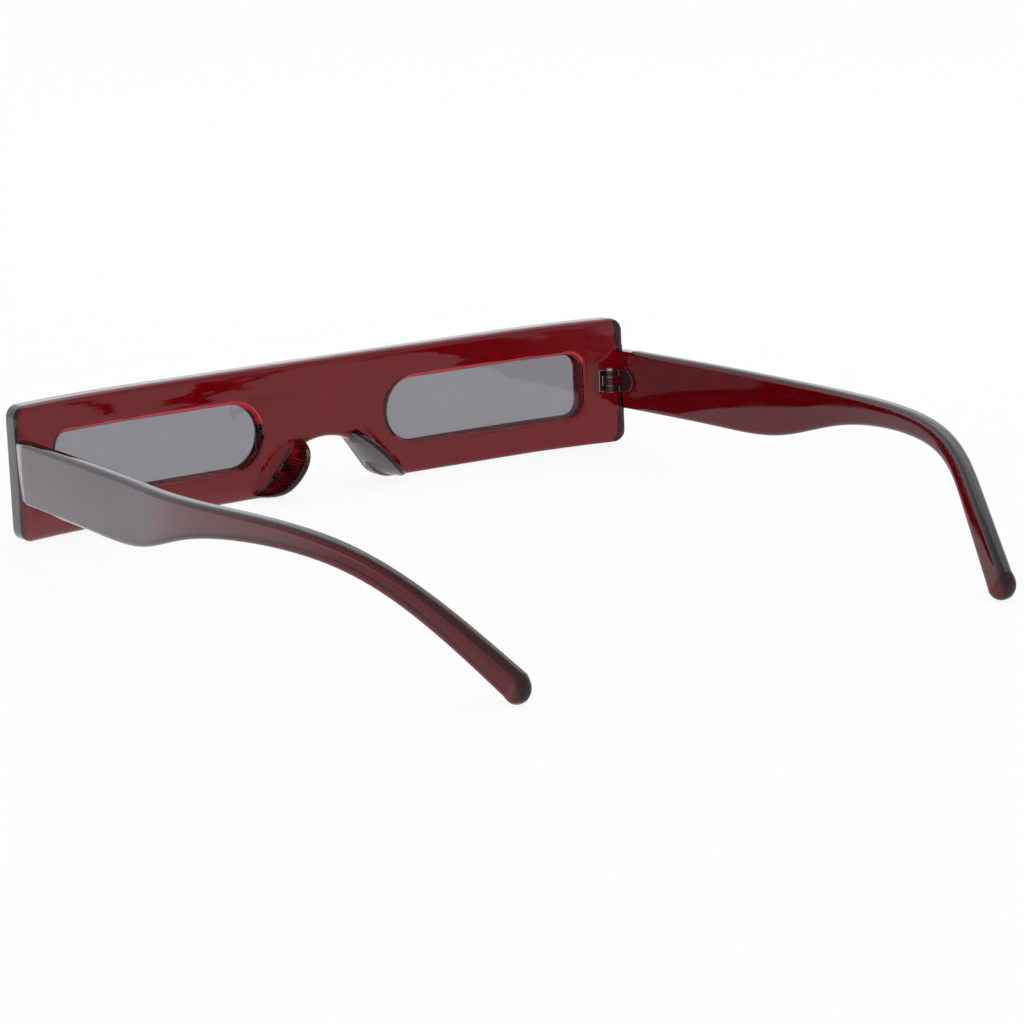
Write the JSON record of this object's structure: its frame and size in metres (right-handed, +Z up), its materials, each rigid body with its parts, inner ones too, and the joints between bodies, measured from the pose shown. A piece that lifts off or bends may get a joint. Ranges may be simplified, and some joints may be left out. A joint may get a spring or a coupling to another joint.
{
  "type": "flat top sunglasses",
  "caption": "Flat top sunglasses with a straight brow, burgundy plastic front, grey flat-topped lenses and slim curved temples on metal hinges.",
  "frame": {"origin": "middle of the foot of the bounding box, on the surface that the open glasses stand on", "axes": "+X towards the wearer's left, across the front, +Y backwards along the temples, +Z up; the front's face looks along -Y and the glasses stand on the front's lower edge and the two temple tips"},
  "size_m": [0.1548, 0.1534, 0.0274],
  "materials": {
    "burgundy_plastic": "glossy, slightly see-through",
    "grey_lens": "polished, neutral grey tint",
    "hinge_metal": "satin",
    "screw_metal": "satin"
  },
  "bodies": {
    "front": {"front_frame": "burgundy_plastic", "left_lens": "grey_lens", "right_lens": "grey_lens", "left_front_hinge_leaf": "hinge_metal", "right_front_hinge_leaf": "hinge_metal"},
    "left_arm": {"left_temple": "burgundy_plastic", "left_temple_hinge_leaf": "hinge_metal", "left_hinge_screw": "screw_metal"},
    "right_arm": {"right_temple": "burgundy_plastic", "right_temple_hinge_leaf": "hinge_metal", "right_hinge_screw": "screw_metal"}
  },
  "joints": [
    {"name": "left_temple_fold", "type": "hinge", "parent": "front", "child": "left_arm", "pos_m": [0.0686, -0.06514, 0.01462], "axis": [0, -0.0679, 0.9977], "range_deg": [0, 86]},
    {"name": "right_temple_fold", "type": "hinge", "parent": "front", "child": "right_arm", "pos_m": [-0.0686, -0.06514, 0.01462], "axis": [0, 0.0679, -0.9977], "range_deg": [0, 78]}
  ]
}
